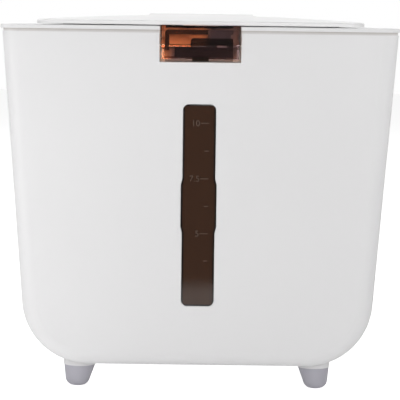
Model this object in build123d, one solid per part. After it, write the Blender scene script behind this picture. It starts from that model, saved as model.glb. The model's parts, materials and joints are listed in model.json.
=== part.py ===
from build123d import *
import math
import os

# Rice storage bin with a flip lid and a press latch.
# Millimetres, +Z up, the front faces -Y. The origin is on the floor under the middle.

# Overall form
overall_width = 300.0
overall_depth = 285.0
collar_top = 282.0
side_draft = 3.85

# Tub
tub_underside = 21.7
wall = 2.5
belly_radius = 51.0
edge_radius = 12.0
rim_setback = 1.3
slot_round = 0.8

# Collar, the top frame that closes the tub's rim
lip_height = 3.0
lip_corner_radius = 10.0
lip_round = 1.0
groove_height = 2.2
groove_depth = 2.3
neck_width = 5.0
neck_corner = 5.0
deck_thickness = 2.5
skirt_depth = 14.0
skirt_wall = 2.0
skirt_gap = 0.25
opening_side_margin = 42.0
opening_front_land = 7.2
opening_radius = 22.0
opening_flange_wall = 2.0
opening_flange_depth = 12.0
snap_lug_length = 22.0
snap_lug_height = 3.0
snap_lug_reach = 0.8
snap_lug_drop = 5.0
snap_lug_root = 0.5
snap_lug_play = 0.2
collar_seal_height = 2.6
collar_seal_drop = 10.0
seal_groove = 1.0

# Sight window
window_top_drop = 58.5
window_bottom_rise = 47.9
window_width = 24.4
window_corner = 4.2
window_middle_width = 26.6
window_middle_length = 32.4
window_taper = 4.5
window_recess = 0.3
window_gap = 0.15
window_edge_round = 0.5
flange_margin = 6.0
flange_thickness = 1.6
gasket_thickness = 1.0
stake_radius = 1.4
stake_head_radius = 2.3
stake_head_height = 0.8
stake_gap = 0.1
stake_shift = 0.3
stake_end_inset = 19.13
stake_middle_gap = 9.3

# Feet
foot_side_inset = 39.73
foot_front_inset = 38.03
foot_top_radius = 12.2
foot_boss_rise = 12.5
foot_boss_lip = 0.3
foot_boss_spread = 1.0
foot_end_radius = 8.3
foot_end_round = 6.4
foot_splay = 2.2
foot_cap_height = 16.6
spigot_radius = 6.2
spigot_end = 8.0
cap_gap = 0.05

# Hinge
hinge_inset = 20.5
hinge_height = 3.0
barrel_radius = 7.0
barrel_half_length = 39.5
ear_thickness = 5.6
hinge_side_gap = 0.5
trough_gap = 0.4
rod_radius = 2.0
rod_running_gap = 0.05
rod_fixed_gap = 0.02
rod_inset = 0.4
hinge_block_front = 22.0
hinge_block_back = 11.0
hinge_block_floor = 2.2
spring_pocket_drop = 0.6

# Lid spring
lid_wire = 1.2
lid_coil_gap = 0.35
lid_coil_pitch = 1.75
lid_coil_turns = 5
lid_leg_length = 15.0
lid_leg_slope = 14.0
spring_bay_half = 11.0
spring_bay_gap = 0.65
leg_clearance = 0.3

# Lid
lid_side_margin = 27.5
lid_front_setback = 1.7
lid_hinge_gap = 4.0
lid_corner = 9.0
lid_gap = 0.75
lid_skin = 1.8
lid_edge_height = 3.0
lid_end_rise = 0.5
lid_front_crown = 0.2
lid_crown = 4.6
lid_back_crown = 3.6
lid_edge_round = 0.9
crown_margin = 3.0
crown_front_share = 0.33
crown_rear_share = 0.7
lid_fore_crown = 3.7
lid_back_rise = 0.3
hump_start = 38.0
hump_ramp = 20.0
hump_round = 2.0
hump_back_gap = 0.8
ear_gap = 0.5

# Lid liner, seal and their screws
recess_margin = 0.5
liner_gap = 0.2
liner_plate = 1.1
plug_gap = 1.9
plug_wall = 2.0
plug_depth = 11.0
lid_seal_gap = 0.3
lid_seal_height = 4.0
lid_seal_drop = 1.7
lid_seal_sink = 0.9
liner_screw_side_inset = 36.0
liner_screw_front_inset = 40.0
liner_screw_back_inset = 38.0
boss_radius = 3.2
screw_radius = 1.2
screw_head_radius = 2.4
screw_head_height = 1.1
screw_grip = 3.4
screw_bore_gap = 0.02
screw_hole_gap = 0.15

# Press latch
notch_width = 60.6
latch_drop = 26.7
pocket_wall = 1.8
pocket_depth = 21.5
latch_pin_inset = 8.5
latch_pin_drop = 15.0
latch_pin_radius = 1.25
button_top_gap = 0.5
button_side_gap = 0.6
button_low_inset = 0.9
button_setback = 0.1
button_slant = 2.8
button_foot_gap = 2.1
button_wall = 1.8
button_side_wall = 1.6
button_depth = 11.5
button_lip = 1.2
button_chamfer = 1.5
finger_notch_width = 12.0
finger_notch_depth = 1.5
hook_gap = 0.2
hook_beam_height = 3.4
hook_beam_drop = 2.7
hook_beam_depth = 9.5
hook_corner = 2.6
hook_left_gap = 0.7
hook_right_gap = 2.8
hook_leg_width = 3.1
hook_web_reach = 7.4
hook_web_rise = 6.0
hook_web_corner = 2.4
hook_block_left = 5.6
hook_block_inset = 2.0
hook_block_height = 6.3
hook_nose_reach = 2.8
hook_nose_width = 18.0
hook_nose_height = 3.0
hook_nose_lead = 2.1
hook_hub_radius = 3.2
hook_spring_room = 3.6
hook_web = 2.0
hook_seat_x = 16.0
hook_seat_radius = 3.4
peg_radius = 1.5
peg_length = 1.8

# Latch springs
latch_wire = 0.6
latch_coil_gap = 0.35
latch_coil_turns = 4
latch_seat_gap = 0.1

# Catch under the lid
catch_width = 26.0
catch_plate = 1.6
catch_inset = 4.9
catch_length = 13.0
catch_blade = 1.8
catch_nose_gap = 0.5
catch_toe_width = 17.0
catch_toe_height = 2.2
catch_toe_reach = 1.7
catch_toe_gap = 0.9
catch_screw_x = 9.6
catch_screw_inset = 8.3
catch_screw_radius = 1.1
catch_screw_head = 2.0
catch_head_height = 0.8
catch_screw_grip = 1.8

# Cuts run this far past the faces they open, and points this close lie on a face
overrun = 1.0
headroom = 30.0
tiny = 0.01

# Levels and lines worked out from the sizes above
draft_angle = math.radians(side_draft)
slope = math.tan(draft_angle)
front_line = -overall_depth / 2
back_line = overall_depth / 2
lip_bottom = collar_top - lip_height
tub_top = lip_bottom - groove_height
tub_half_width = overall_width / 2 - rim_setback
tub_half_depth = overall_depth / 2 - rim_setback
deck_bottom = collar_top - deck_thickness
base_lean = (tub_top - tub_underside) * slope
foot_x = tub_half_width - base_lean - foot_side_inset
foot_y = tub_half_depth - base_lean - foot_front_inset
hinge_y = back_line - hinge_inset
pocket_back = front_line + pocket_depth
opening_front = pocket_back + pocket_wall + opening_front_land
opening_back = hinge_y - hinge_block_front
opening_length = opening_back - opening_front
opening_width = overall_width - 2 * opening_side_margin
opening_y = (opening_front + opening_back) / 2
skirt_bottom = tub_top - skirt_depth
boss_bottom = foot_cap_height
latch_pin_y = front_line + latch_pin_inset
latch_floor = collar_top - latch_drop
latch_pin_z = collar_top - latch_pin_drop
hinge_z = collar_top + hinge_height
lid_underside = collar_top + lid_gap
ceiling = collar_top + headroom
through = overall_width / 4
stake_x = window_width / 2 + flange_margin / 2 + stake_shift
gasket_inner = wall + gasket_thickness
flange_inner = gasket_inner + flange_thickness
trough_radius = barrel_radius + trough_gap
barrel_room = barrel_half_length + hinge_side_gap
ear_outer = barrel_room + ear_thickness
pocket_half = notch_width / 2 + pocket_wall
lid_width = overall_width - 2 * lid_side_margin
lid_front = front_line + lid_front_setback
lid_back = hinge_y - lid_hinge_gap
lid_edge_top = lid_underside + lid_edge_height
liner_top = lid_underside + liner_plate
liner_screw_x = opening_width / 2 - liner_screw_side_inset
liner_screw_front = opening_front + liner_screw_front_inset
liner_screw_back = opening_back - liner_screw_back_inset
hump_top = hinge_z + barrel_radius
hump_back = hinge_y - barrel_radius - hump_back_gap
lid_coil_radius = rod_radius + lid_coil_gap + lid_wire / 2
leg_ceiling = hinge_z + lid_coil_radius + lid_wire / 2 + leg_clearance
latch_coil_radius = peg_radius + latch_coil_gap + latch_wire / 2
spring_z = latch_floor + button_foot_gap + button_side_wall + hook_seat_radius + hook_gap
hook_seat_back = latch_pin_y + hook_web / 2
hook_beam_back = front_line + hook_beam_depth
nose_tip = hook_beam_back + hook_nose_reach
hook_top = collar_top - hook_beam_drop
nose_bottom = hook_top - hook_nose_height
toe_top = nose_bottom - catch_toe_gap
catch_front = front_line + catch_inset
catch_back = catch_front + catch_length
catch_screw_y = front_line + catch_screw_inset
button_face = front_line + button_setback
button_back = front_line + button_depth
button_low_face = button_face + button_slant
button_top = lid_underside - button_top_gap
button_foot = latch_floor + button_foot_gap
button_half = notch_width / 2 - button_side_gap
button_low_half = button_half - button_low_inset
button_inner = button_low_half - button_side_wall


def slab(low, high):
    """Wide flat block between two heights."""
    return Pos(0, 0, (low + high) / 2) * Box(2 * overall_width, 2 * overall_depth, high - low)


def block(x_low, x_high, y_low, y_high, z_low, z_high):
    """Box given by its faces."""
    centre = Pos((x_low + x_high) / 2, (y_low + y_high) / 2, (z_low + z_high) / 2)
    return centre * Box(x_high - x_low, y_high - y_low, z_high - z_low)


def rounded_prism(width, length, radius, low, high, y=0.0):
    """Upright block with rounded corners in plan."""
    outline = Plane((0, y, low)) * RectangleRounded(width, length, radius)
    return extrude(outline, high - low)


def rod_along_x(radius, half_length, y, z, x=0.0):
    """Cylinder lying along X."""
    return Pos(x, y, z) * Rot(0, 90, 0) * Cylinder(radius, 2 * half_length)


def side_profile(points, half_width):
    """Block with a given outline in the YZ plane, as wide as asked and centred on X."""
    outline = Plane.YZ * make_face(Polyline(*points, close=True))
    return extrude(outline, half_width, both=True)


def tub_form(inset, top):
    """Drafted tub shape with large lower corners, every wall moved in by inset."""
    plan_inset = inset / math.cos(draft_angle)
    low = tub_underside + inset
    low_lean = (tub_top - low) * slope + plan_inset
    top_lean = (tub_top - top) * slope + plan_inset

    def wedge(plane, half, reach):
        """Upright prism with two drafted sides."""
        low_half, top_half = half - low_lean, half - top_lean
        corners = [(-low_half, low), (low_half, low), (top_half, top), (-top_half, top)]
        return extrude(plane * make_face(Polyline(*corners, close=True)), reach, both=True)

    form = wedge(Plane.XZ, tub_half_width, overall_depth)
    form &= wedge(Plane.YZ, tub_half_depth, overall_width)
    lower_corners = form.edges().filter_by(Axis.Y).group_by(Axis.Z)[0]
    form = fillet(lower_corners, belly_radius - inset)
    for order in (0, -1):
        end_face = form.faces().sort_by(Axis.Y)[order]
        rounded = [edge for edge in end_face.edges() if edge.center().Z < top - 0.1]
        form = fillet(rounded, edge_radius - inset)
    return form


def front_y(height):
    """Y of the tub's drafted front face."""
    return -tub_half_depth + (tub_top - height) * slope


def biarc_path(place, heading, stations):
    """Smooth chain of arcs through a curve's points, two arcs between neighbours."""
    pieces = []
    for start, end in zip(stations, stations[1:]):
        first, last = place(start), place(end)
        go, come = heading(start).normalized(), heading(end).normalized()
        chord = last - first
        both = go + come
        spread = 4 - both.dot(both)
        along = chord.dot(both)
        reach = (math.sqrt(along * along + spread * chord.dot(chord)) - along) / spread
        near, far = first + go * reach, last - come * reach
        middle = (near + far) * 0.5
        pieces.append(TangentArc(first, middle, tangent=go))
        pieces.append(TangentArc(middle, last, tangent=far - near))
    return pieces


def half_turns(start, end):
    """Angles from start to end in steps of about a half turn."""
    count = round((end - start) / math.pi)
    return [start + (end - start) * step / count for step in range(count + 1)]


def swept_wire(pieces, wire, start, direction):
    """Round wire along a path."""
    route = Wire(Curve() + [piece.edge() for piece in pieces])
    section = Plane(origin=start, z_dir=direction) * Circle(wire / 2)
    return sweep(section, path=route)


# Window outline, drawn in the plane of the drafted front face
window_top = collar_top - window_top_drop
window_bottom = tub_underside + window_bottom_rise
window_half = (window_top - window_bottom) / 2
window_centre_z = (window_top + window_bottom) / 2
window_plane = Plane(
    origin=(0, front_y(window_centre_z), window_centre_z),
    x_dir=(1, 0, 0),
    z_dir=(0, -math.cos(draft_angle), -math.sin(draft_angle)),
)
window_length = 2 * window_half / math.cos(draft_angle)
stake_high = window_length / 2 - stake_end_inset
stake_low = window_middle_length / 2 + window_taper + stake_middle_gap
stake_rows = (-stake_high, -stake_low, stake_low, stake_high)


def window_outline(margin):
    """Strip with rounded ends and a wider middle, grown all round by margin."""
    strip = RectangleRounded(
        window_width + 2 * margin, window_length + 2 * margin, window_corner + margin
    )
    wide = window_middle_width / 2 + margin
    narrow = window_width / 2 + margin
    straight = window_middle_length / 2
    corners = [
        (-narrow, -straight - window_taper),
        (-wide, -straight),
        (-wide, straight),
        (-narrow, straight + window_taper),
        (narrow, straight + window_taper),
        (wide, straight),
        (wide, -straight),
        (narrow, -straight - window_taper),
    ]
    return strip + make_face(Polyline(*corners, close=True))


def window_layer(margin, outer, inner):
    """Slice of the window's stack between two depths behind the tub's front face."""
    return extrude(window_plane.offset(-inner) * window_outline(margin), inner - outer)


def stakes(radius, outer, inner):
    """Heat-stake posts beside the window, as round bars across its stack."""
    bars = []
    for side in (-1, 1):
        for row in stake_rows:
            bar = Pos(side * stake_x, row, 0) * Circle(radius)
            bars.append(extrude(window_plane.offset(-inner) * bar, inner - outer))
    return bars


foot_places = {
    "front_left": (-1, -1),
    "front_right": (1, -1),
    "rear_left": (-1, 1),
    "rear_right": (1, 1),
}

# Latch notch, cut alike through the tub's wall and the collar
notch = block(
    -notch_width / 2,
    notch_width / 2,
    -overall_depth,
    pocket_back,
    latch_floor,
    ceiling,
)


def snap_lugs(grow):
    """Snap lugs round the collar's skirt, or the pockets they spring into."""
    top = tub_top - snap_lug_drop + grow
    bottom = top - snap_lug_height - 2 * grow
    above = tub_top + overrun
    outer = tub_form(wall + skirt_gap - snap_lug_reach - grow, above)
    band = slab(bottom, top) & (outer - tub_form(wall + skirt_gap + snap_lug_root, above))
    half = snap_lug_length / 2 + grow
    across = overall_width
    reaches = []
    for place in (-overall_depth / 4, overall_depth / 4):
        reaches.append(block(-across, across, place - half, place + half, bottom, top))
    for place in (-overall_width / 4, overall_width / 4):
        reaches.append(block(place - half, place + half, -across, across, bottom, top))
    return band & (reaches[0] + reaches[1:])


def make_tub():
    """Drafted shell with foot bosses, window slot, latch notch and snap pockets."""
    body = tub_form(0, tub_top)
    for side_x, side_y in foot_places.values():
        boss_top = tub_underside + foot_boss_rise
        boss = Pos(side_x * foot_x, side_y * foot_y, (boss_bottom + boss_top) / 2)
        lip = foot_top_radius + foot_boss_lip
        body += boss * Cone(lip, lip + foot_boss_spread, boss_top - boss_bottom)
    body -= tub_form(wall, tub_top + overrun)
    for side_x, side_y in foot_places.values():
        spigot = Pos(side_x * foot_x, side_y * foot_y, (spigot_end + boss_bottom) / 2)
        body += spigot * Cylinder(spigot_radius, boss_bottom - spigot_end)
    body -= window_layer(window_gap, -overrun, wall + overrun)
    body -= notch
    body = fillet(front_rim_edges(body), slot_round)
    body += stakes(stake_radius, wall / 2, flange_inner)
    body += stakes(stake_head_radius, flange_inner, flange_inner + stake_head_height)
    body -= snap_lugs(snap_lug_play)
    return body


def front_rim_edges(body):
    """Edges of the window slot and the latch notch on the tub's front face."""
    half = notch_width / 2 + overrun
    rims = []
    for edge in body.edges():
        place = edge.center()
        near_face = abs((place - window_plane.origin).dot(window_plane.z_dir)) < tiny
        low, high = window_bottom - overrun, tub_top - tiny
        if near_face and abs(place.X) < half and low < place.Z < high:
            rims.append(edge)
    return rims


def make_window():
    """Brown strip with a flange behind the wall, held by the stakes."""
    plate = window_layer(0, window_recess, gasket_inner)
    face = plate.faces().sort_by(Axis.Y)[0]
    plate = fillet(face.edges(), window_edge_round)
    body = plate + window_layer(flange_margin, gasket_inner, flange_inner)
    body -= stakes(stake_radius + stake_gap, wall, flange_inner + overrun)
    return body


def make_gasket():
    """Flat ring squeezed between the window's flange and the wall."""
    body = window_layer(flange_margin, wall, gasket_inner)
    body -= window_layer(window_gap, 0, gasket_inner + overrun)
    body -= stakes(stake_radius + stake_gap, 0, gasket_inner + overrun)
    return body


def make_foot_cap(side_x, side_y):
    """Tapered rubber cap that leans outwards and slides on the boss's spigot."""
    top = Plane((side_x * foot_x, side_y * foot_y, foot_cap_height))
    end_x = side_x * (foot_x + foot_splay)
    end_y = side_y * (foot_y + foot_splay)
    cap = loft([Plane((end_x, end_y, 0)) * Circle(foot_end_radius), top * Circle(foot_top_radius)])
    cap = fillet(cap.edges().group_by(Axis.Z)[0], foot_end_round)
    depth = foot_cap_height - spigot_end + cap_gap
    hole = Pos(side_x * foot_x, side_y * foot_y, foot_cap_height - depth / 2)
    return cap - hole * Cylinder(spigot_radius + cap_gap, depth)


def make_collar():
    """Top frame: lip, shadow groove, skirt, deck, latch pocket and hinge seat."""
    lip = rounded_prism(overall_width, overall_depth, lip_corner_radius, lip_bottom, collar_top)
    lip = fillet(lip.edges().group_by(Axis.Z)[-1], lip_round)
    body = lip + rounded_prism(
        overall_width - 2 * groove_depth,
        overall_depth - 2 * groove_depth,
        lip_corner_radius - groove_depth,
        tub_top,
        lip_bottom,
    )
    hollow = 2 * (groove_depth + neck_width)
    body -= rounded_prism(
        overall_width - hollow,
        overall_depth - hollow,
        neck_corner,
        tub_top - overrun,
        deck_bottom,
    )
    inner_top = tub_top + overrun
    skirt_band = slab(skirt_bottom, tub_top)
    skirt_form = tub_form(wall + skirt_gap, inner_top)
    skirt_hole = tub_form(wall + skirt_gap + skirt_wall, inner_top)
    body += skirt_band & (skirt_form - skirt_hole)
    body += rounded_prism(
        opening_width + 2 * opening_flange_wall,
        opening_length + 2 * opening_flange_wall,
        opening_radius + opening_flange_wall,
        collar_top - opening_flange_depth,
        deck_bottom,
        opening_y,
    )
    body += snap_lugs(0)
    half = pocket_half
    back = pocket_back + pocket_wall
    pocket_low = block(-half, half, front_line, back, latch_floor - pocket_wall, tub_top)
    body += pocket_low & skirt_form
    body += block(-half, half, front_line + groove_depth, back, tub_top, deck_bottom)
    body -= make_collar_seal()
    body -= rounded_prism(
        opening_width,
        opening_length,
        opening_radius,
        skirt_bottom,
        ceiling,
        opening_y,
    )
    body -= notch
    body -= rod_along_x(latch_pin_radius + rod_fixed_gap, through, latch_pin_y, latch_pin_z)
    for side in (-1, 1):
        peg = Pos(side * hook_seat_x, pocket_back - peg_length / 2, spring_z) * Rot(90, 0, 0)
        body += peg * Cylinder(peg_radius, peg_length)
    body += hinge_seat()
    body -= rod_along_x(trough_radius, barrel_room, hinge_y, hinge_z)
    body -= block(
        -spring_bay_half,
        spring_bay_half,
        hinge_y - hinge_block_front + hinge_block_floor,
        hinge_y,
        hinge_z - trough_radius - spring_pocket_drop,
        hinge_z,
    )
    body += hinge_ears()
    body -= rod_along_x(rod_radius + rod_fixed_gap, through, hinge_y, hinge_z)
    return body


def hinge_seat():
    """Thick bed under the deck that the lid's barrel turns in."""
    floor = hinge_z - trough_radius - spring_pocket_drop - hinge_block_floor
    return block(
        -ear_outer,
        ear_outer,
        hinge_y - hinge_block_front,
        hinge_y + hinge_block_back,
        floor,
        collar_top,
    )


def hinge_ears():
    """Two ears that carry the rod, one at each end of the barrel."""
    ears = []
    for side in (-1, 1):
        centre = side * (barrel_room + ear_thickness / 2)
        round_top = rod_along_x(barrel_radius, ear_thickness / 2, hinge_y, hinge_z, centre)
        foot = block(
            centre - ear_thickness / 2,
            centre + ear_thickness / 2,
            hinge_y - barrel_radius,
            hinge_y + barrel_radius,
            deck_bottom,
            hinge_z,
        )
        ears.append(round_top + foot)
    return ears


def make_collar_seal():
    """Soft ring in the skirt's groove, against the tub's wall, its ends at the latch pocket."""
    top = tub_top - collar_seal_drop
    low = top - collar_seal_height
    above = tub_top + overrun
    ring = tub_form(wall, above) - tub_form(wall + skirt_gap + seal_groove, above)
    gap = block(-pocket_half, pocket_half, -overall_depth, 0, low, top)
    return (ring & slab(low, top)) - gap


def crown_form():
    """Solid under the lid's gently crowned top, wider than the lid all round."""
    length = lid_back - lid_front
    stations = [
        (lid_front - crown_margin, 0.0, lid_front_crown),
        (lid_front + length * crown_front_share, lid_end_rise, lid_fore_crown),
        (lid_front + length * crown_rear_share, lid_end_rise, lid_crown),
        (lid_back + crown_margin, lid_back_rise, lid_back_crown),
    ]
    half = lid_width / 2 + crown_margin
    low = lid_underside - lid_edge_height
    sections = []
    for y, rise, crown in stations:
        edge = lid_edge_top + rise
        peak = edge + crown * 4 / 3  # the curve reaches three quarters of its poles' height
        outline = (
            Polyline((-half, edge), (-half, low), (half, low), (half, edge))
            + Bezier((half, edge), (half / 3, peak), (-half / 3, peak), (-half, edge))
        )
        plane = Plane(origin=(0, y, 0), x_dir=(1, 0, 0), z_dir=(0, -1, 0))
        sections.append(plane * make_face(outline))
    return loft(sections)


def lid_outline(low, high):
    """Plan of the lid."""
    middle = (lid_front + lid_back) / 2
    return rounded_prism(lid_width, lid_back - lid_front, lid_corner, low, high, middle)


def lid_recess_outline(grow, low, high):
    """Plan of the recess under the lid that takes the liner."""
    return rounded_prism(
        opening_width + 2 * (recess_margin + grow),
        opening_length + 2 * (recess_margin + grow),
        opening_radius + recess_margin + grow,
        low,
        high,
        opening_y,
    )


def liner_screw_places():
    """Six places, three across the front and three across the back."""
    rows = (liner_screw_front, liner_screw_back)
    return [(x, y) for y in rows for x in (-liner_screw_x, 0.0, liner_screw_x)]


def make_lid():
    """Crowned lid skin with its edge, liner recess, screw bosses and hinge barrel."""
    crown = crown_form()
    solid = lid_outline(lid_underside, ceiling) & crown
    top_face = solid.faces().sort_by(Axis.Z)[-1]
    solid = fillet(top_face.edges(), lid_edge_round)
    recess = lid_recess_outline(0, lid_underside - overrun, ceiling)
    body = solid - (recess & Pos(0, 0, -lid_skin) * crown)
    for x, y in liner_screw_places():
        boss = Pos(x, y, (liner_top + hump_top) / 2) * Cylinder(boss_radius, hump_top - liner_top)
        body += boss & crown
        bore = Pos(x, y, (liner_top + lid_underside + screw_grip) / 2)
        body -= bore * Cylinder(
            screw_radius + screw_bore_gap, lid_underside + screw_grip - liner_top
        )
    ramp_foot = hump_back - hump_start
    hump = side_profile(
        [
            (ramp_foot, lid_underside),
            (ramp_foot, hump_top - lid_edge_height),
            (ramp_foot + hump_ramp, hump_top),
            (hump_back, hump_top),
            (hump_back, lid_underside),
        ],
        ear_outer,
    )
    upper_edges = hump.edges().filter_by_position(Axis.Z, lid_edge_top, ceiling)
    side_edges = upper_edges.filter_by(Axis.X, reverse=True).filter_by(Axis.Z, reverse=True)
    hump = fillet(side_edges, hump_round)
    recess_back = opening_back + recess_margin
    body += hump - block(-ear_outer, ear_outer, -overall_depth, recess_back, 0, lid_edge_top)
    inner = barrel_half_length
    body += block(-inner, inner, hump_back - lid_skin, hinge_y, lid_underside, hump_top)
    body += rod_along_x(barrel_radius, inner, hinge_y, hinge_z)
    ear_room = ear_outer + ear_gap
    body -= block(-ear_room, -inner, hump_back, overall_depth, 0, ceiling)
    body -= block(inner, ear_room, hump_back, overall_depth, 0, ceiling)
    hole = inner - lid_skin
    hole_front = recess_back + lid_skin
    body -= block(-hole, hole, hole_front, hump_back - lid_skin, 0, leg_ceiling)
    bay = spring_bay_half
    coil_room = lid_coil_radius + lid_wire / 2 + spring_bay_gap
    body -= rod_along_x(coil_room, bay, hinge_y, hinge_z)
    bay_front = hump_back - lid_skin - overrun
    body -= block(-bay, bay, bay_front, hinge_y + coil_room, 0, hinge_z)
    body -= block(-bay, bay, bay_front, hinge_y, 0, leg_ceiling)
    body -= rod_along_x(rod_radius + rod_running_gap, through, hinge_y, hinge_z)
    for side in (-1, 1):
        length = catch_screw_grip
        bore = Pos(side * catch_screw_x, catch_screw_y, lid_underside + length / 2)
        body -= bore * Cylinder(catch_screw_radius + screw_bore_gap, length)
    return body


def make_lid_spring():
    """Torsion spring round the rod, one leg in the collar's bed, one under the lid."""
    advance = lid_coil_pitch / (2 * math.pi)
    begin = math.radians(lid_leg_slope)
    finish = math.pi + 2 * math.pi * (lid_coil_turns - 1)
    middle = (begin + finish) / 2

    def place(turn):
        return Vector(
            advance * (turn - middle),
            hinge_y + lid_coil_radius * math.sin(turn),
            hinge_z - lid_coil_radius * math.cos(turn),
        )

    def heading(turn):
        return Vector(
            advance, lid_coil_radius * math.cos(turn), lid_coil_radius * math.sin(turn)
        )

    first, last = place(begin), place(finish)
    leg_start = first - heading(begin).normalized() * lid_leg_length
    leg_end = last + heading(finish).normalized() * lid_leg_length
    pieces = [Line(leg_start, first)]
    pieces += biarc_path(place, heading, half_turns(begin, finish))
    pieces.append(Line(last, leg_end))
    print("lid spring: least gap between turns", round(lid_coil_pitch - lid_wire, 2))
    return swept_wire(pieces, lid_wire, leg_start, heading(begin))


def make_latch_spring(side):
    """Compression spring between the hook's seat and the pocket's back wall."""
    near = hook_seat_back + latch_wire / 2 + latch_seat_gap
    far = pocket_back - latch_wire / 2 - latch_seat_gap
    full = 2 * math.pi * latch_coil_turns
    advance = (far - near) / full

    def place(turn):
        return Vector(
            side * hook_seat_x + latch_coil_radius * math.cos(turn),
            near + advance * turn,
            spring_z + latch_coil_radius * math.sin(turn),
        )

    def heading(turn):
        return Vector(
            -latch_coil_radius * math.sin(turn), advance, latch_coil_radius * math.cos(turn)
        )

    pieces = biarc_path(place, heading, half_turns(0, full))
    gap = advance * 2 * math.pi - latch_wire
    print("latch spring: least gap between turns", round(gap, 2))
    return swept_wire(pieces, latch_wire, place(0), heading(0))


def make_liner():
    """Flat panel in the lid's recess with a plug ring that enters the opening."""
    body = lid_recess_outline(-liner_gap, lid_underside, liner_top)
    gap = 2 * plug_gap
    body += rounded_prism(
        opening_width - gap,
        opening_length - gap,
        opening_radius - plug_gap,
        lid_underside - plug_depth,
        lid_underside,
        opening_y,
    )
    inner = gap + 2 * plug_wall
    body -= rounded_prism(
        opening_width - inner,
        opening_length - inner,
        opening_radius - inner / 2,
        lid_underside - plug_depth - overrun,
        lid_underside,
        opening_y,
    )
    body -= lid_seal_ring()
    for x, y in liner_screw_places():
        hole = Pos(x, y, lid_underside + liner_plate / 2)
        body -= hole * Cylinder(screw_radius + screw_hole_gap, liner_plate + 2 * overrun)
    return body


def lid_seal_ring():
    """Ring round the plug, part of it sunk in the plug's wall."""
    top = lid_underside - lid_seal_drop
    low = top - lid_seal_height
    outer = 2 * lid_seal_gap
    inner = 2 * (plug_gap + lid_seal_sink)
    ring = rounded_prism(
        opening_width - outer,
        opening_length - outer,
        opening_radius - lid_seal_gap,
        low,
        top,
        opening_y,
    )
    return ring - rounded_prism(
        opening_width - inner,
        opening_length - inner,
        opening_radius - inner / 2,
        low,
        top,
        opening_y,
    )


def screw_up(radius, head_radius, head_height, x, y, seat, length):
    """Pan-head screw that points up from its seat."""
    head = Pos(x, y, seat - head_height / 2) * Cylinder(head_radius, head_height)
    head = chamfer(head.edges().group_by(Axis.Z)[0], head_height / 2)
    return head + Pos(x, y, seat + length / 2) * Cylinder(radius, length)


def make_liner_screws():
    """Screws that hold the liner to the lid's bosses."""
    screws = []
    for x, y in liner_screw_places():
        screws.append(
            screw_up(
                screw_radius,
                screw_head_radius,
                screw_head_height,
                x,
                y,
                lid_underside,
                screw_grip,
            )
        )
    return Compound(children=screws)


def make_catch():
    """Striker under the lid with a toe below the hook's nose."""
    half = catch_width / 2
    plate_bottom = lid_underside - catch_plate
    body = block(-half, half, catch_front, catch_back, plate_bottom, lid_underside)
    toe_front = nose_tip + catch_nose_gap
    blade_front = toe_front + catch_toe_reach
    toe_half = catch_toe_width / 2
    low = toe_top - catch_toe_height
    body += block(-toe_half, toe_half, blade_front, blade_front + catch_blade, low, plate_bottom)
    body += block(-toe_half, toe_half, toe_front, blade_front + catch_blade, low, toe_top)
    for side in (-1, 1):
        hole = Pos(side * catch_screw_x, catch_screw_y, plate_bottom + catch_plate / 2)
        body -= hole * Cylinder(catch_screw_radius + screw_hole_gap, catch_plate + 2 * overrun)
    return body


def make_catch_screws():
    """Two screws that hold the catch to the lid."""
    seat = lid_underside - catch_plate
    length = catch_plate + catch_screw_grip
    screws = []
    for side in (-1, 1):
        screws.append(
            screw_up(
                catch_screw_radius,
                catch_screw_head,
                catch_head_height,
                side * catch_screw_x,
                catch_screw_y,
                seat,
                length,
            )
        )
    return Compound(children=screws)


def latch_pin_bore():
    """Running bore of the rocker's two pieces."""
    return rod_along_x(latch_pin_radius + rod_running_gap, through, latch_pin_y, latch_pin_z)


def make_button():
    """Hollow rocker with an upright upper face and a slanted press face."""
    low_body = side_profile(
        [
            (button_face, button_top),
            (button_face, latch_pin_z),
            (button_low_face, button_foot),
            (button_back, button_foot),
            (button_back, latch_pin_z + hook_hub_radius + button_wall),
            (button_face + button_wall + button_lip, button_top),
        ],
        button_low_half,
    )
    upper = block(
        -button_half,
        button_half,
        button_face,
        button_face + button_wall + button_lip,
        latch_pin_z,
        button_top,
    )
    upright = upper.edges().filter_by(Axis.Z).group_by(Axis.Y)[0]
    body = low_body + chamfer(upright, button_chamfer)
    body -= side_profile(
        [
            (button_face + button_wall, button_top - button_side_wall),
            (button_face + button_wall, latch_pin_z),
            (button_low_face + button_wall, button_foot + button_side_wall),
            (button_back + overrun, button_foot + button_side_wall),
            (button_back + overrun, button_top - button_side_wall),
        ],
        button_inner,
    )
    body -= block(
        -finger_notch_width / 2,
        finger_notch_width / 2,
        -overall_depth,
        button_low_face + button_wall,
        button_foot - overrun,
        button_foot + finger_notch_depth,
    )
    return body - latch_pin_bore()


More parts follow.
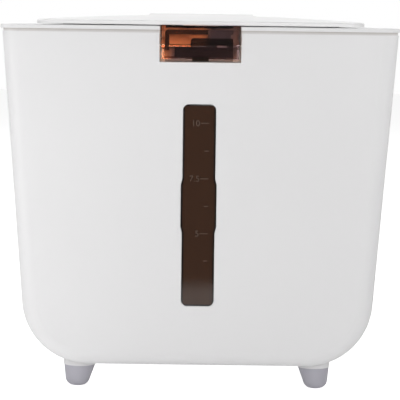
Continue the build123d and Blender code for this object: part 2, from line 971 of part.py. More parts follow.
def make_hook():
    """Dark frame inside the rocker: nose beam on a leg and a block, pin hubs, spring plate."""
    front = button_face + button_wall + hook_gap
    left = -(button_inner - hook_left_gap)
    right = button_inner - hook_right_gap
    beam_low = hook_top - hook_beam_height
    web_front = latch_pin_y - hook_web / 2
    web_top = latch_pin_z + hook_web_rise
    arch = block(left, right, front, hook_beam_back, latch_pin_z, hook_top)
    arch -= block(left + hook_leg_width, right, -overall_depth, pocket_back, 0, beam_low)
    shoulder = arch.edges().filter_by(Axis.Y).group_by(Axis.X)[0].sort_by(Axis.Z)[-1]
    body = fillet(shoulder, hook_corner)
    body += block(
        hook_block_left,
        right - hook_block_inset,
        front,
        hook_beam_back,
        hook_top - hook_block_height,
        hook_top,
    )
    web = block(-hook_web_reach, right, web_front, hook_seat_back, latch_pin_z, web_top)
    web_end = web.edges().filter_by(Axis.Y).group_by(Axis.X)[0].sort_by(Axis.Z)[-1]
    body += fillet(web_end, hook_web_corner)
    body += block(
        hook_block_left,
        right - hook_block_inset,
        web_front,
        hook_seat_back,
        latch_pin_z,
        hook_top,
    )
    body += block(
        -hook_seat_x - hook_seat_radius,
        right,
        web_front,
        hook_seat_back,
        spring_z - hook_seat_radius,
        latch_pin_z,
    )
    body += side_profile(
        [
            (hook_beam_back, hook_top),
            (nose_tip, hook_top - hook_nose_lead),
            (nose_tip, nose_bottom),
            (hook_beam_back, nose_bottom),
        ],
        hook_nose_width / 2,
    )
    hub_spans = (
        (left, left + hook_leg_width),
        (-hook_web_reach, hook_seat_x - hook_spring_room),
        (hook_seat_x + hook_spring_room, right),
    )
    for start, end in hub_spans:
        middle, half = (start + end) / 2, (end - start) / 2
        body += rod_along_x(hook_hub_radius, half, latch_pin_y, latch_pin_z, middle)
    for side in (-1, 1):
        peg = Pos(side * hook_seat_x, hook_seat_back + peg_length / 2, spring_z) * Rot(90, 0, 0)
        body += peg * Cylinder(peg_radius, peg_length)
    return body - latch_pin_bore()


def make_hinge_rod():
    """Steel rod through both ears and the barrel."""
    return rod_along_x(rod_radius, ear_outer - rod_inset, hinge_y, hinge_z)


def make_latch_pin():
    """Steel pin through the pocket's side walls and the rocker."""
    return rod_along_x(latch_pin_radius, pocket_half, latch_pin_y, latch_pin_z)


def save(shape, node):
    """Write one piece to its own file."""
    export_step(shape, "parts/" + node + ".step")


os.makedirs("parts", exist_ok=True)
save(make_tub(), "tub")
save(make_window(), "sight_window")
save(make_gasket(), "window_gasket")
save(make_collar(), "collar")
save(make_collar_seal(), "collar_seal")
for name, (side_x, side_y) in foot_places.items():
    save(make_foot_cap(side_x, side_y), "foot_cap_" + name)
save(make_hinge_rod(), "hinge_rod")
save(make_lid_spring(), "lid_spring")
save(make_latch_pin(), "latch_pin")
save(make_latch_spring(-1), "latch_spring_left")
save(make_latch_spring(1), "latch_spring_right")
save(make_lid(), "flip_lid")
save(make_liner(), "lid_liner")
save(make_liner_screws(), "liner_screws")
save(lid_seal_ring(), "lid_seal")
save(make_catch(), "lid_catch")
save(make_catch_screws(), "catch_screws")
save(make_button(), "latch_button")
save(make_hook(), "latch_hook")
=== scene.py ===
import json
import math

import bmesh
import bpy
from mathutils import Matrix, Vector
from mathutils.bvhtree import BVHTree


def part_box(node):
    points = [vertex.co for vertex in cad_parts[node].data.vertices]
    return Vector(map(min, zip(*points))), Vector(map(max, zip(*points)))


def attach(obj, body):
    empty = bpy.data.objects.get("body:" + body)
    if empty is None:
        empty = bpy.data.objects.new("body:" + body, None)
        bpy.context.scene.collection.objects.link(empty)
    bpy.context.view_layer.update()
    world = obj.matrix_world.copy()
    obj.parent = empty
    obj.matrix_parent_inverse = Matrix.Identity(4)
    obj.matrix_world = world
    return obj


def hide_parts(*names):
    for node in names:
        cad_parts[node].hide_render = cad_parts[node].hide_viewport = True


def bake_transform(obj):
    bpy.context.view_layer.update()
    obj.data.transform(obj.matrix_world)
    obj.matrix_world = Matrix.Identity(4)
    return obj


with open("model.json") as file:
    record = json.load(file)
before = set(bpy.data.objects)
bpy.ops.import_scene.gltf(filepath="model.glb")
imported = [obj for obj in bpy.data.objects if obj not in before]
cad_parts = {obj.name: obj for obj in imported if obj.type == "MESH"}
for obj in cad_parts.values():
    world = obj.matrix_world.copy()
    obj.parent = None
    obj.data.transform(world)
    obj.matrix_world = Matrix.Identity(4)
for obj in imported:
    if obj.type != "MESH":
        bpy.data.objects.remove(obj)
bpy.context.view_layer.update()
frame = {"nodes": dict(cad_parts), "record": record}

# The finish of a rice bin: white moulded plastic, brown see-through window and latch, rubber feet.
# Metres, +Z up, the front faces -Y. Colours are linear red, green and blue.

# Camera: the lens and the place that bring the bin's outline where the photograph has it
image_side = 400.0
focal_pixels = 1849.0
principal_x = 201.2
sensor = 36.0
camera_place = Vector((0.002, -1.5225, 0.2859))
camera_pitch = math.radians(5.53)
camera_roll = math.radians(0.75)

# Surround: how bright it is as a light, and mirrored from the room's and the backdrop's side
world_light = 0.10
room_gloss = 0.11
backdrop_gloss = 1.05
room_blur = 0.3

# Floor: half its side, its paper, how bright it looks and how much light it sends back,
# and where the table's front edge ends what the bin mirrors of it
floor_side = 6.0
floor_colour = (0.85, 0.85, 0.85)
floor_roughness = 0.8
floor_glow = 0.85
floor_bounce = 0.16
table_front = -0.43
table_blur = 0.02

# Softboxes, all aimed at the bin's middle: name, place, side and power
bin_middle = Vector((0.0, 0.0, 0.15))
softboxes = (
    ("front", (0.1, -2.0, 0.58), 0.5, 12.4),
    ("left", (-0.34, -0.32, 0.18), 0.25, 0.3),
    ("right", (0.45, -0.25, 0.3), 0.25, 0.3),
    ("top", (-0.35, 0.1, 1.7), 1.4, 14.5),
    ("back_left", (-1.7, 1.5, 1.5), 1.0, 14.0),
    ("back_right", (1.7, 1.5, 1.5), 1.0, 11.0),
)

# Grain and mottle: how fine the noises are, and how strong the bump is
grain_detail = 2.0
rubbing_scale = 14.0
rubbing_detail = 4.0
mottle_scale = 9.0
mottle_detail = 5.0
bump_strength = 0.5

# Latch: the front's crease, and where painted shade turns the amber smoky above and below it, for the
# light that fades towards its right inside the hollow button
latch_crease = 0.267
latch_crease_blur = 0.0005
latch_shade_edge_low = -0.0235
latch_shade_edge_high = 0.005
latch_shade_blur = 0.004
# Painted shade: the smoky tint laid over the amber's right and lower parts
latch_shade_tint = (0.32, 0.23, 0.24)
lamp_tint = (1.0, 0.76, 0.6)

# Hook: painted light on the front of the block on its right, a slate grey where the light falls, and
# the brown cast below the latch's crease
lit_block_left = 0.0056
lit_block_low = 0.273
lit_block_front = 0.139
narrow_mask_blur = 0.0003
# Painted light: the lit colour of the block's front
block_light_tint = (0.20, 0.24, 0.31)
below_crease_tint = (0.048, 0.026, 0.030)

# Painted shade in the shadow groove between the top frame's lip and the tub: its heights, and how dim
# its lower part is painted
groove_low = 0.2768
groove_high = 0.279
groove_share_low = 0.25
groove_blur = 0.0001
# Painted shade: the colour laid into the groove
groove_shade_tint = (0.51, 0.48, 0.455)

# Flange of the hook: a grey sheet that hangs behind the button's foot and closes the gap under it,
# standing in for the shade seen in that gap
latch_foot_gap = 0.0021
flange_wall = 0.0009
flange_foot_gap = 0.0003
flange_seat_gap = 0.0002
flange_over = 0.0002
flange_bevel = 0.0002
flange_bevel_steps = 2
flange_notch = 0.0062
# Painted shade: the black of the notch's hollow
notch_shade_tint = (0.012, 0.010, 0.010)

# Springs: how near the wire's corners are merged, and the angle past which its edges stay sharp
merge_reach = 0.000001
wire_crease = math.radians(50)

# Window pane: its outline, and the painted shade of the dark line that its edge shows
pane_middle = 0.14655
pane_half_length = 0.07695
pane_half_width = 0.0122
pane_wide_half = 0.0133
pane_wide_reach = 0.0162
pane_wide_taper = 0.0045
pane_rim = 0.0012
pane_rim_blur = 0.0003
# Painted shade: the colour of the window's dark edge line
pane_edge_shade_tint = (0.016, 0.010, 0.009)

# Screws: the height of each kind's head, and its shank's share of the head's radius
screw_kinds = {"liner_screws": (0.0011, 0.5), "catch_screws": (0.0008, 0.55)}
screw_sides = 32
screw_apart = 0.009
screw_turn = 0.7
screw_crease = math.radians(35)

# Screw head: its outline as shares of its radius and height, and its cross as shares of them
head_outline = ((0.55, 0.0), (0.78, 0.08), (0.93, 0.25), (1.0, 0.5), (1.0, 1.0))
cross_arm = 0.62
cross_wall = 0.17
cross_depth = 0.6
cross_lead = 0.25
cross_taper = 0.6

# Window scale: raised marks, every second one long and numbered in kilograms of rice
mark_count = 6
mark_lowest = 0.1045
mark_step = 0.021
mark_right = 0.0072
long_mark = 0.0062
short_mark = 0.0032
mark_thickness = 0.0006
mark_relief = 0.00004
number_height = 0.0046
number_right = 0.0003
numbers = ("5", "7.5", "10")

# A Mix node's colour sockets by their places, because its sockets share their names
first_colour = 6
second_colour = 7
mixed_colour = 2


def feed(tree, socket, value):
    """Give a socket a plain value, or link it to another socket."""
    if isinstance(value, bpy.types.NodeSocket):
        tree.links.new(value, socket)
    else:
        socket.default_value = value


def math_node(tree, operation, first, second=None):
    """Result of one sum on one or two values or sockets."""
    node = tree.nodes.new("ShaderNodeMath")
    node.operation = operation
    feed(tree, node.inputs[0], first)
    if second is not None:
        feed(tree, node.inputs[1], second)
    return node.outputs["Value"]


def ranged(tree, value, span=(0.0, 1.0), result=(0.0, 1.0), kind="LINEAR"):
    """Value taken from one span to another, and kept within it."""
    node = tree.nodes.new("ShaderNodeMapRange")
    node.interpolation_type = kind
    for label, end in zip(("From Min", "From Max", "To Min", "To Max"), (*span, *result)):
        node.inputs[label].default_value = end
    tree.links.new(value, node.inputs["Value"])
    return node.outputs["Result"]


def past_edge(tree, value, edge, blur):
    """Share from 0 to 1 as a value passes an edge, eased over a blur to each side."""
    beyond = math_node(tree, "SUBTRACT", value, edge)
    return ranged(tree, beyond, span=(-blur, blur), kind="SMOOTHSTEP")


def noise(tree, coordinates, scale, detail):
    """Noise from 0 to 1 on given coordinates."""
    node = tree.nodes.new("ShaderNodeTexNoise")
    feed(tree, node.inputs["Scale"], scale)
    node.inputs["Detail"].default_value = detail
    tree.links.new(coordinates, node.inputs["Vector"])
    return node.outputs["Fac"]


def value_mix(tree, share, first, second):
    """Value between two, by a share."""
    mix = tree.nodes.new("ShaderNodeMix")
    for label, value in (("Factor", share), ("A", first), ("B", second)):
        feed(tree, mix.inputs[label], value)
    return mix.outputs["Result"]


def colour_mix(tree, share, first, second):
    """Colour between two, by a share."""
    mix = tree.nodes.new("ShaderNodeMix")
    mix.data_type = "RGBA"
    tree.links.new(share, mix.inputs["Factor"])
    feed(tree, mix.inputs[first_colour], first)
    feed(tree, mix.inputs[second_colour], second)
    return mix.outputs[mixed_colour]


def object_place(tree):
    """Place on the object, as one socket."""
    return tree.nodes.new("ShaderNodeTexCoord").outputs["Object"]


def placed(tree):
    """Place on the object along X, Y and Z, as sockets."""
    split = tree.nodes.new("ShaderNodeSeparateXYZ")
    tree.links.new(object_place(tree), split.inputs["Vector"])
    return split.outputs


def new_group(name, inputs, outputs):
    """Empty shader node group with named sockets, its input and output nodes."""
    group = bpy.data.node_groups.new(name, "ShaderNodeTree")
    for way, sockets in (("INPUT", inputs), ("OUTPUT", outputs)):
        for label, kind in sockets:
            group.interface.new_socket(label, in_out=way, socket_type="NodeSocket" + kind)
    return group, group.nodes.new("NodeGroupInput"), group.nodes.new("NodeGroupOutput")


def make_grain():
    """Fine moulded grain: a height for bump and a roughness that varies with handling."""
    group, given, out = new_group(
        "moulded_grain",
        [("Grain Scale", "Float"), ("Smooth", "Float"), ("Rubbed", "Float")],
        [("Height", "Float"), ("Roughness", "Float")],
    )
    place = object_place(group)
    fine = noise(group, place, given.outputs["Grain Scale"], grain_detail)
    rubbing = noise(group, place, rubbing_scale, rubbing_detail)
    roughness = value_mix(group, rubbing, given.outputs["Smooth"], given.outputs["Rubbed"])
    group.links.new(fine, out.inputs["Height"])
    group.links.new(roughness, out.inputs["Roughness"])
    return group


def make_mottle():
    """Slow cloudy change between two near shades, as moulded plastic has."""
    group, given, out = new_group(
        "moulded_mottle",
        [("Scale", "Float"), ("Light", "Color"), ("Dark", "Color")],
        [("Color", "Color")],
    )
    cloud = noise(group, object_place(group), given.outputs["Scale"], mottle_detail)
    shade = colour_mix(group, cloud, given.outputs["Dark"], given.outputs["Light"])
    group.links.new(shade, out.inputs["Color"])
    return group


grain = make_grain()
mottle = make_mottle()


def group_node(tree, group, **values):
    """Node group placed in a material with its own values."""
    node = tree.nodes.new("ShaderNodeGroup")
    node.node_tree = group
    for label, value in values.items():
        node.inputs[label.replace("_", " ")].default_value = value
    return node.outputs


def finish_with(name, light, dark, smooth, rubbed, grain_scale, depth, cloud=mottle_scale, **plain):
    """Material with mottled colour, fine grain and plain values on the shader's own sockets."""
    material = bpy.data.materials.new(name)
    material.use_nodes = True
    tree = material.node_tree
    shader = tree.nodes["Principled BSDF"]
    for label, value in plain.items():
        shader.inputs[label.replace("_", " ")].default_value = value
    shade = group_node(tree, mottle, Scale=cloud, Light=(*light, 1), Dark=(*dark, 1))
    tree.links.new(shade["Color"], shader.inputs["Base Color"])
    surface = group_node(tree, grain, Grain_Scale=grain_scale, Smooth=smooth, Rubbed=rubbed)
    tree.links.new(surface["Roughness"], shader.inputs["Roughness"])
    bump = tree.nodes.new("ShaderNodeBump")
    bump.inputs["Distance"].default_value = depth
    bump.inputs["Strength"].default_value = bump_strength
    tree.links.new(surface["Height"], bump.inputs["Height"])
    tree.links.new(bump.outputs["Normal"], shader.inputs["Normal"])
    return material


def see_through(tree, share, tint):
    """Let light pass straight through a material, tinted, by a share."""
    clear = tree.nodes.new("ShaderNodeBsdfTransparent")
    clear.inputs["Color"].default_value = (*tint, 1)
    mix = tree.nodes.new("ShaderNodeMixShader")
    tree.links.new(share, mix.inputs["Fac"])
    tree.links.new(tree.nodes["Principled BSDF"].outputs["BSDF"], mix.inputs[1])
    tree.links.new(clear.outputs["BSDF"], mix.inputs[2])
    tree.links.new(mix.outputs["Shader"], tree.nodes["Material Output"].inputs["Surface"])


def tint_over(material, share, colour):
    """Lay another colour over a material's own, by a share that changes over the surface."""
    tree = material.node_tree
    base = tree.nodes["Principled BSDF"].inputs["Base Color"]
    tree.links.new(colour_mix(tree, share, base.links[0].from_socket, (*colour, 1)), base)


def let_lamps_through(material):
    """Let light from the lamps pass a clear piece, so that what lies inside it is lit."""
    tree = material.node_tree
    path = tree.nodes.new("ShaderNodeLightPath")
    see_through(tree, path.outputs["Is Shadow Ray"], lamp_tint)


def paint_latch_shade(material):
    """Paint shade over the amber towards the latch's right half and along its lower face, where less
    light reaches inside the button.
    """
    tree = material.node_tree
    place = placed(tree)
    crease = (latch_crease - latch_crease_blur, latch_crease + latch_crease_blur)
    edge = ranged(tree, place["Z"], span=crease, result=(latch_shade_edge_low, latch_shade_edge_high))
    tint_over(material, past_edge(tree, place["X"], edge, latch_shade_blur), latch_shade_tint)


def paint_pane_edge_shade(material):
    """Paint shade all round the sight window's outline, for the dark line of shade that its edge
    shows.
    """
    tree = material.node_tree
    place = placed(tree)
    aside = math_node(tree, "ABSOLUTE", place["X"])
    away = math_node(tree, "ABSOLUTE", math_node(tree, "SUBTRACT", place["Z"], pane_middle))
    taper = (pane_wide_reach, pane_wide_reach + pane_wide_taper)
    rim_starts = (pane_wide_half - pane_rim, pane_half_width - pane_rim)
    half = ranged(tree, away, span=taper, result=rim_starts)
    at_side = past_edge(tree, aside, half, pane_rim_blur)
    at_end = past_edge(tree, away, pane_half_length - pane_rim, pane_rim_blur)
    tint_over(material, math_node(tree, "MAXIMUM", at_side, at_end), pane_edge_shade_tint)


def paint_block_light(material):
    """Paint light on the front of the hook's block: a lighter slate grey where the light falls on it,
    while the recessed parts stay in shade.
    """
    tree = material.node_tree
    place = placed(tree)
    right = past_edge(tree, place["X"], lit_block_left, narrow_mask_blur)
    high = past_edge(tree, place["Z"], lit_block_low, narrow_mask_blur)
    ahead = past_edge(tree, math_node(tree, "MULTIPLY", place["Y"], -1.0), lit_block_front, narrow_mask_blur)
    share = math_node(tree, "MULTIPLY", math_node(tree, "MULTIPLY", right, high), ahead)
    tint_over(material, share, block_light_tint)


def brown_below_crease(material):
    """Give the hook a brown cast where it is seen through the button's lower face."""
    tree = material.node_tree
    below = past_edge(tree, placed(tree)["Z"], latch_crease, -narrow_mask_blur)
    tint_over(material, below, below_crease_tint)


def paint_groove_shade(material):
    """Paint shade into the shadow groove between the top frame's lip and the tub, darkest under the
    lip, where the lip keeps the light off.
    """
    tree = material.node_tree
    height = placed(tree)["Z"]
    share = ranged(tree, height, span=(groove_low, groove_high), result=(groove_share_low, 1.0))
    under_lip = past_edge(tree, height, groove_high, -groove_blur)
    tint_over(material, math_node(tree, "MULTIPLY", share, under_lip), groove_shade_tint)


def paint_notch_shade(material):
    """Paint shade on the middle of the flange: a black patch for the dark hollow seen through the
    button's finger notch.
    """
    tree = material.node_tree
    aside = math_node(tree, "ABSOLUTE", placed(tree)["X"])
    outside = past_edge(tree, aside, flange_notch, narrow_mask_blur)
    tint_over(material, math_node(tree, "SUBTRACT", 1.0, outside), notch_shade_tint)


satin_white = dict(
    light=(0.83, 0.825, 0.83),
    dark=(0.80, 0.795, 0.80),
    smooth=0.42,
    rubbed=0.5,
    grain_scale=1400.0,
    depth=0.00003,
)
white = finish_with("white_satin_plastic", **satin_white)
# The top frame's own plastic, which also carries the painted shade of its groove
frame_white = finish_with("white_frame_plastic", **satin_white)
lid_white = finish_with(
    "white_lid_plastic",
    light=(0.86, 0.855, 0.855),
    dark=(0.84, 0.835, 0.835),
    smooth=0.3,
    rubbed=0.36,
    grain_scale=1400.0,
    depth=0.00002,
)
smoked = finish_with(
    "smoked_window",
    light=(0.100, 0.043, 0.022),
    dark=(0.080, 0.036, 0.019),
    smooth=0.05,
    rubbed=0.08,
    grain_scale=300.0,
    depth=0.00001,
    IOR=1.585,
    Transmission_Weight=0.5,
)
amber = finish_with(
    "amber_latch",
    light=(0.97, 0.47, 0.28),
    dark=(0.94, 0.43, 0.24),
    smooth=0.03,
    rubbed=0.06,
    grain_scale=300.0,
    depth=0.00001,
    IOR=1.49,
    Transmission_Weight=1.0,
)
hook_black = finish_with(
    "dark_hook_plastic",
    light=(0.02, 0.016, 0.018),
    dark=(0.012, 0.010, 0.011),
    smooth=0.6,
    rubbed=0.7,
    grain_scale=1200.0,
    depth=0.00003,
    Specular_IOR_Level=0.15,
)
# A grey sheet that stands for shade: the colour of the flange that fills the gap under the button
shade_sheet_grey = finish_with(
    "grey_flange_plastic",
    light=(0.36, 0.315, 0.31),
    dark=(0.31, 0.27, 0.265),
    smooth=0.5,
    rubbed=0.6,
    grain_scale=1200.0,
    depth=0.00003,
    Specular_IOR_Level=0.2,
)
rubber = finish_with(
    "grey_rubber",
    light=(0.475, 0.465, 0.515),
    dark=(0.435, 0.425, 0.475),
    smooth=0.5,
    rubbed=0.6,
    grain_scale=1600.0,
    depth=0.00005,
)
silicone = finish_with(
    "seal_silicone",
    light=(0.74, 0.73, 0.71),
    dark=(0.68, 0.67, 0.65),
    smooth=0.45,
    rubbed=0.55,
    grain_scale=1500.0,
    depth=0.00004,
)
steel = finish_with(
    "bright_steel",
    light=(0.62, 0.61, 0.60),
    dark=(0.5, 0.49, 0.48),
    smooth=0.22,
    rubbed=0.35,
    grain_scale=2500.0,
    depth=0.00002,
    Metallic=1.0,
)
scale_relief = finish_with(
    "worn_scale_relief",
    light=(0.085, 0.050, 0.033),
    dark=(0.060, 0.034, 0.022),
    smooth=0.35,
    rubbed=0.5,
    grain_scale=900.0,
    depth=0.00002,
    cloud=400.0,
)

# Painted shade and painted light laid over the finishes: the groove's shade, the window's dark edge,
# the latch's smoky shade, the lit front of the hook's block and the notch's shade
paint_groove_shade(frame_white)
paint_pane_edge_shade(smoked)
paint_latch_shade(amber)
let_lamps_through(amber)
paint_block_light(hook_black)
brown_below_crease(hook_black)
paint_notch_shade(shade_sheet_grey)

slot_finish = {
    "white_plastic": white,
    "brown_clear_plastic": smoked,
    "dark_plastic": hook_black,
    "grey_rubber": rubber,
    "seal_silicone": silicone,
    "steel": steel,
}
node_finish = {"collar": frame_white, "flip_lid": lid_white, "latch_button": amber}


def dress_nodes():
    """Give every node its finish."""
    slots = {part["node"]: part["material_slot"] for part in frame["record"]["subparts"]}
    for name, node in frame["nodes"].items():
        node.data.materials.clear()
        node.data.materials.append(node_finish.get(name, slot_finish[slots[name]]))


def linked(name, data):
    """New object that holds a mesh, camera, light or text."""
    made = bpy.data.objects.new(name, data)
    bpy.context.scene.collection.objects.link(made)
    return made


def mesh_from(name, shape):
    """Plain mesh from a bmesh form, which is freed."""
    mesh = bpy.data.meshes.new(name)
    shape.to_mesh(mesh)
    shape.free()
    return mesh


def evaluated_mesh(source):
    """Plain mesh of an object with its modifiers done, and the object removed."""
    graph = bpy.context.evaluated_depsgraph_get()
    mesh = bpy.data.meshes.new_from_object(source.evaluated_get(graph))
    bpy.data.objects.remove(source)
    return mesh


def settled_piece(source, name, material):
    """Plain piece at the origin, with one material, from an object with its modifiers done."""
    mesh = evaluated_mesh(source)
    mesh.name = name
    mesh.materials.clear()
    mesh.materials.append(material)
    return linked(name, mesh)


def declare(piece, body):
    """Say which body a piece rides on."""
    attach(piece, body)


def make_camera():
    """Camera at the photograph's place and angle."""
    data = bpy.data.cameras.new("camera")
    data.sensor_width = sensor
    data.lens = focal_pixels / image_side * sensor
    data.shift_x = (image_side / 2 - principal_x) / image_side
    camera = linked("camera", data)
    level = Matrix.Rotation(math.pi / 2 - camera_pitch, 4, "X")
    roll = Matrix.Rotation(camera_roll, 4, "Z")
    camera.matrix_world = Matrix.Translation(camera_place) @ level @ roll
    bpy.context.scene.camera = camera


def make_softbox(name, place, side, power):
    """Square softbox aimed at the bin's middle."""
    data = bpy.data.lights.new(name, "AREA")
    data.size = side
    data.energy = power
    light = linked(name, data)
    light.location = place
    light.rotation_mode = "QUATERNION"
    light.rotation_quaternion = (bin_middle - Vector(place)).to_track_quat("-Z", "Y")
    light.visible_camera = False


def ray_kind(tree, label, no, yes):
    """Value that is yes for one kind of ray and no for the others."""
    path = tree.nodes.new("ShaderNodeLightPath")
    return ranged(tree, path.outputs[label], result=(no, yes))


def make_world():
    """White surround to the camera, softer as a light and dark in reflections."""
    world = bpy.data.worlds.new("studio")
    bpy.context.scene.world = world
    world.use_nodes = True
    tree = world.node_tree
    seen = ray_kind(tree, "Is Camera Ray", world_light, 1.0)
    way = tree.nodes.new("ShaderNodeSeparateXYZ")
    tree.links.new(tree.nodes.new("ShaderNodeTexCoord").outputs["Generated"], way.inputs["Vector"])
    sides = (room_gloss, backdrop_gloss)
    mirrored = ranged(tree, way.outputs["Y"], span=(-room_blur, room_blur), result=sides)
    in_gloss = tree.nodes.new("ShaderNodeLightPath").outputs["Is Glossy Ray"]
    background = tree.nodes["Background"]
    background.inputs["Color"].default_value = (1, 1, 1, 1)
    tree.links.new(value_mix(tree, in_gloss, seen, mirrored), background.inputs["Strength"])


def make_floor():
    """Pale floor that shows from above only, and is mirrored only as far as the table reached."""
    mesh = bpy.data.meshes.new("floor")
    corners = ((-1, -1), (1, -1), (1, 1), (-1, 1))
    mesh.from_pydata([(x * floor_side, y * floor_side, 0) for x, y in corners], [], [(0, 1, 2, 3)])
    material = bpy.data.materials.new("floor_paper")
    material.use_nodes = True
    tree = material.node_tree
    shader = tree.nodes["Principled BSDF"]
    shader.inputs["Base Color"].default_value = (*floor_colour, 1)
    shader.inputs["Roughness"].default_value = floor_roughness
    shader.inputs["Specular IOR Level"].default_value = 0.0
    shader.inputs["Emission Color"].default_value = (1, 1, 1, 1)
    glow = ray_kind(tree, "Is Camera Ray", floor_bounce, floor_glow)
    tree.links.new(glow, shader.inputs["Emission Strength"])
    table_end = (table_front + table_blur, table_front - table_blur)
    beyond = ranged(tree, placed(tree)["Y"], span=table_end)
    unmirrored = math_node(tree, "MULTIPLY", beyond, ray_kind(tree, "Is Glossy Ray", 0.0, 1.0))
    below = tree.nodes.new("ShaderNodeNewGeometry").outputs["Backfacing"]
    see_through(tree, math_node(tree, "MAXIMUM", unmirrored, below), (1, 1, 1))
    mesh.materials.append(material)
    linked("floor", mesh)


def make_studio():
    """White surround, pale floor and soft light, most of it from the front and from above."""
    make_world()
    make_floor()
    for softbox in softboxes:
        make_softbox(*softbox)
    bpy.context.scene.view_settings.view_transform = "Standard"


def surface_of(node):
    """Search tree of a CAD node's faces."""
    mesh = frame["nodes"][node].data
    corners = [vertex.co for vertex in mesh.vertices]
    return BVHTree.FromPolygons(corners, [tuple(face.vertices) for face in mesh.polygons])


window_surface = surface_of("sight_window")


def window_face(height):
    """Place on the sight window's front face in the middle, at a height."""
    ahead = Vector((0, -1, height))
    place, _, _, _ = window_surface.ray_cast(ahead, Vector((0, 1, 0)))
    return place


def new_geometry_tree(name):
    """Empty geometry tree with a geometry output, its input and output nodes."""
    tree = bpy.data.node_groups.new(name, "GeometryNodeTree")
    tree.interface.new_socket("Geometry", in_out="OUTPUT", socket_type="NodeSocketGeometry")
    return tree, tree.nodes.new("NodeGroupInput"), tree.nodes.new("NodeGroupOutput")


def tree_input(tree, given, label, kind, value=None):
    """Named input of a geometry tree: its output socket inside the tree, and its identifier."""
    socket = tree.interface.new_socket(label, in_out="INPUT", socket_type="NodeSocket" + kind)
    if value is not None:
        socket.default_value = value
    return given.outputs[label], socket.identifier


def settle_instances(tree, instances, material, out):
    """End a geometry tree: its instances made real, with one material."""
    real = tree.nodes.new("GeometryNodeRealizeInstances")
    tree.links.new(instances, real.inputs["Geometry"])
    paint = tree.nodes.new("GeometryNodeSetMaterial")
    paint.inputs["Material"].default_value = material
    tree.links.new(real.outputs["Geometry"], paint.inputs["Geometry"])
    tree.links.new(paint.outputs["Geometry"], out.inputs["Geometry"])


def scale_marks_tree():
    """Geometry tree of the window's marks: a row of small bars, every second one long."""
    tree, given, out = new_geometry_tree("window_scale_marks")
    low = window_face(mark_lowest)
    rise = window_face(mark_lowest + mark_step) - low
    count, _ = tree_input(tree, given, "Marks", "Int", mark_count)
    start, _ = tree_input(tree, given, "Lowest", "Vector", low)
    offset, _ = tree_input(tree, given, "Step", "Vector", rise)
    long, _ = tree_input(tree, given, "Long", "Float", long_mark)
    short, _ = tree_input(tree, given, "Short", "Float", short_mark)
    line = tree.nodes.new("GeometryNodeMeshLine")
    tree.links.new(count, line.inputs["Count"])
    tree.links.new(start, line.inputs["Start Location"])
    tree.links.new(offset, line.inputs["Offset"])
    index = tree.nodes.new("GeometryNodeInputIndex").outputs["Index"]
    odd = math_node(tree, "MODULO", index, 2.0)
    extra = math_node(tree, "MULTIPLY", odd, math_node(tree, "SUBTRACT", long, short))
    length = math_node(tree, "ADD", short, extra)
    shift = math_node(tree, "SUBTRACT", mark_right, math_node(tree, "MULTIPLY", length, 0.5))
    aside = tree.nodes.new("ShaderNodeCombineXYZ")
    tree.links.new(shift, aside.inputs["X"])
    move = tree.nodes.new("GeometryNodeSetPosition")
    tree.links.new(line.outputs["Mesh"], move.inputs["Geometry"])
    tree.links.new(aside.outputs["Vector"], move.inputs["Offset"])
    bar = tree.nodes.new("GeometryNodeMeshCube")
    bar.inputs["Size"].default_value = (1.0, 2 * mark_relief, mark_thickness)
    stretch = tree.nodes.new("ShaderNodeCombineXYZ")
    for axis, value in (("X", length), ("Y", 1.0), ("Z", 1.0)):
        feed(tree, stretch.inputs[axis], value)
    place = tree.nodes.new("GeometryNodeInstanceOnPoints")
    tree.links.new(move.outputs["Geometry"], place.inputs["Points"])
    tree.links.new(bar.outputs["Mesh"], place.inputs["Instance"])
    tree.links.new(stretch.outputs["Vector"], place.inputs["Scale"])
    place.inputs["Rotation"].default_value = (-math.atan2(rise.y, rise.z), 0, 0)
    settle_instances(tree, place.outputs["Instances"], scale_relief, out)
    return tree


def make_scale_marks():
    """Raised bars of the window's level scale."""
    carrier = linked("marks_carrier", bpy.data.meshes.new("marks_carrier"))
    carrier.modifiers.new("marks", "NODES").node_group = scale_marks_tree()
    declare(settled_piece(carrier, "scale_marks", scale_relief), "bin")


def make_scale_number(text, height):
    """Raised number beside a long mark, its right end in line with the others."""
    font = bpy.data.curves.new("number", "FONT")
    font.body = text
    font.extrude = 1.0
    name = "scale_number_" + text.replace(".", "_")
    piece = settled_piece(linked("number", font), name, scale_relief)
    points = [vertex.co for vertex in piece.data.vertices]
    low = Vector([min(point[axis] for point in points) for axis in range(3)])
    high = Vector([max(point[axis] for point in points) for axis in range(3)])
    size = number_height / (high.y - low.y)
    here = window_face(height)
    up = (here - window_face(height - mark_step)).normalized()
    out = up.cross(Vector((1, 0, 0)))
    middle = (low.y + high.y) / 2
    for vertex in piece.data.vertices:
        across = number_right + (vertex.co.x - high.x) * size
        along = (vertex.co.y - middle) * size
        vertex.co = here + Vector((across, 0, 0)) + up * along + out * vertex.co.z * mark_relief
    declare(piece, "bin")


def make_window_scale():
    """Marks and numbers of the level scale on the sight window."""
    make_scale_marks()
    for step, text in enumerate(numbers):
        make_scale_number(text, mark_lowest + mark_step * (2 * step + 1))


def box_corners(node):
    """Lowest and highest corners of a node, as vectors."""
    low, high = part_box(node)
    return Vector(low), Vector(high)


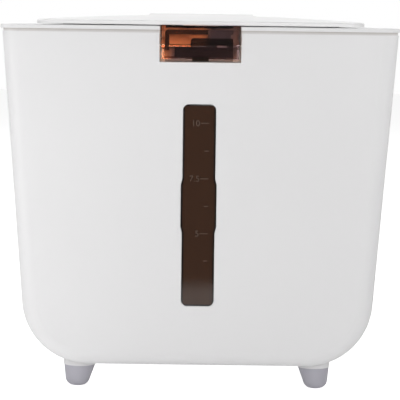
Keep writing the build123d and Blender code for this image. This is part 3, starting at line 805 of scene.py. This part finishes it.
def make_shade_flange():
    """Grey sheet behind the button's foot, hung on the latch: it stands in for the shade in the gap
    under the button and shows as the button's dark lower edge.
    """
    button_low, button_high = box_corners("latch_button")
    hook_low, hook_high = box_corners("latch_hook")
    low = button_low.z - latch_foot_gap + flange_foot_gap
    high = hook_low.z + flange_over
    front = button_high.y + flange_seat_gap
    back = front + flange_wall
    corners = ((front, low), (back, low), (back, high), (front, high))
    shape = bmesh.new()
    loops = [[shape.verts.new((x, y, z)) for y, z in corners] for x in (hook_low.x, hook_high.x)]
    shape.faces.new(loops[0])
    shape.faces.new(reversed(loops[1]))
    for here, after in ((0, 1), (1, 2), (2, 3), (3, 0)):
        shape.faces.new((loops[0][after], loops[0][here], loops[1][here], loops[1][after]))
    bmesh.ops.recalc_face_normals(shape, faces=shape.faces)
    bmesh.ops.bevel(
        shape,
        geom=shape.edges[:],
        offset=flange_bevel,
        segments=flange_bevel_steps,
        affect="EDGES",
    )
    mesh = mesh_from("hook_flange", shape)
    mesh.materials.append(shade_sheet_grey)
    declare(linked("hook_flange", mesh), "latch")


def spring_copy(node):
    """Copy of a spring's wire with its faces joined and smooth, which stands for the node."""
    mesh = frame["nodes"][node].data.copy()
    shape = bmesh.new()
    shape.from_mesh(mesh)
    bmesh.ops.remove_doubles(shape, verts=shape.verts, dist=merge_reach)
    shape.to_mesh(mesh)
    shape.free()
    mesh.shade_smooth()
    mesh.set_sharp_from_angle(angle=wire_crease)
    piece = linked(node + "_wire", mesh)
    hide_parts(node)
    return piece


def make_springs():
    """Smooth copies of the lid's spring and the latch's two springs, set where their nodes are."""
    lid_spring = spring_copy("lid_spring")
    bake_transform(lid_spring)
    for node in ("latch_spring_left", "latch_spring_right"):
        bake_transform(spring_copy(node))


def screw_boxes(node):
    """Lowest and highest corner of each screw of a node."""
    boxes = []
    for vertex in frame["nodes"][node].data.vertices:
        point = vertex.co.copy()
        for low, high in boxes:
            if (point - low).xy.length < screw_apart:
                low[:] = [min(pair) for pair in zip(low, point)]
                high[:] = [max(pair) for pair in zip(high, point)]
                break
        else:
            boxes.append((point.copy(), point.copy()))
    return boxes


def stacked(rings):
    """Closed form from rings of corners, each ring as long as the next, lowest first."""
    shape = bmesh.new()
    loops = [[shape.verts.new(corner) for corner in ring] for ring in rings]
    for lower, upper in zip(loops, loops[1:]):
        for here in range(len(lower)):
            after = (here + 1) % len(lower)
            shape.faces.new((lower[here], lower[after], upper[after], upper[here]))
    shape.faces.new(reversed(loops[0]))
    shape.faces.new(loops[-1])
    bmesh.ops.recalc_face_normals(shape, faces=shape.faces)
    return shape


def round_form(profile):
    """Closed solid of revolution about Z from a profile of radii and heights."""
    turns = [math.tau * side / screw_sides for side in range(screw_sides)]
    return stacked([[(r * math.cos(a), r * math.sin(a), z) for a in turns] for r, z in profile])


def cross_form(arm, half_wall, depth):
    """Tapered cross that cuts the recess of a screw head, from just below the head's face."""
    one_arm = ((arm, -half_wall), (arm, half_wall), (half_wall, half_wall))
    turns = [Matrix.Rotation(math.pi / 2 * quarter, 2) for quarter in range(4)]
    outline = [turn @ Vector(corner) for turn in turns for corner in one_arm]
    levels = ((1.0, -depth * cross_lead), (cross_taper, depth))
    return stacked([[(*(corner * size), z) for corner in outline] for size, z in levels])


def cross_screw(radius, length, head, shank_share):
    """One screw that points up, with a domed head and a cross recess cut into it."""
    shank = radius * shank_share
    profile = [(radius * out, head * up) for out, up in head_outline]
    profile += [(shank, head), (shank, length)]
    recess = cross_form(radius * cross_arm, radius * cross_wall / 2, head * cross_depth)
    screw = linked("screw", mesh_from("screw", round_form(profile)))
    cutter = linked("cross", mesh_from("cross", recess))
    cut = screw.modifiers.new("recess", "BOOLEAN")
    cut.operation = "DIFFERENCE"
    cut.object = cutter
    mesh = evaluated_mesh(screw)
    bpy.data.objects.remove(cutter)
    mesh.set_sharp_from_angle(angle=screw_crease)
    return linked("cross_screw", mesh)


def screw_row_tree():
    """Geometry tree that puts a screw at each point, each turned further than the last."""
    tree, given, out = new_geometry_tree("screw_row")
    places, _ = tree_input(tree, given, "Places", "Geometry")
    screw, screw_socket = tree_input(tree, given, "Screw", "Object")
    turn, _ = tree_input(tree, given, "Turn", "Float", screw_turn)
    shape = tree.nodes.new("GeometryNodeObjectInfo")
    tree.links.new(screw, shape.inputs["Object"])
    index = tree.nodes.new("GeometryNodeInputIndex").outputs["Index"]
    spin = tree.nodes.new("ShaderNodeCombineXYZ")
    tree.links.new(math_node(tree, "MULTIPLY", index, turn), spin.inputs["Z"])
    place = tree.nodes.new("GeometryNodeInstanceOnPoints")
    tree.links.new(places, place.inputs["Points"])
    tree.links.new(shape.outputs["Geometry"], place.inputs["Instance"])
    tree.links.new(spin.outputs["Vector"], place.inputs["Rotation"])
    settle_instances(tree, place.outputs["Instances"], steel, out)
    return tree, screw_socket


def make_screws(node, head, shank_share):
    """Screws with a cross recess where the node has its plain ones."""
    boxes = screw_boxes(node)
    low, high = boxes[0]
    screw = cross_screw((high.x - low.x) / 2, high.z - low.z, head, shank_share)
    middles = [((low.x + high.x) / 2, (low.y + high.y) / 2, low.z) for low, high in boxes]
    mesh = bpy.data.meshes.new("places")
    mesh.from_pydata(middles, [], [])
    carrier = linked("places", mesh)
    tree, screw_socket = screw_row_tree()
    row = carrier.modifiers.new("screws", "NODES")
    row.node_group = tree
    row[screw_socket] = screw
    piece = settled_piece(carrier, node + "_cross", steel)
    bpy.data.objects.remove(screw)
    declare(piece, "lid")
    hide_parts(node)


dress_nodes()
make_window_scale()
make_shade_flange()
make_springs()
for screws, sizes in screw_kinds.items():
    make_screws(screws, *sizes)
make_camera()
make_studio()
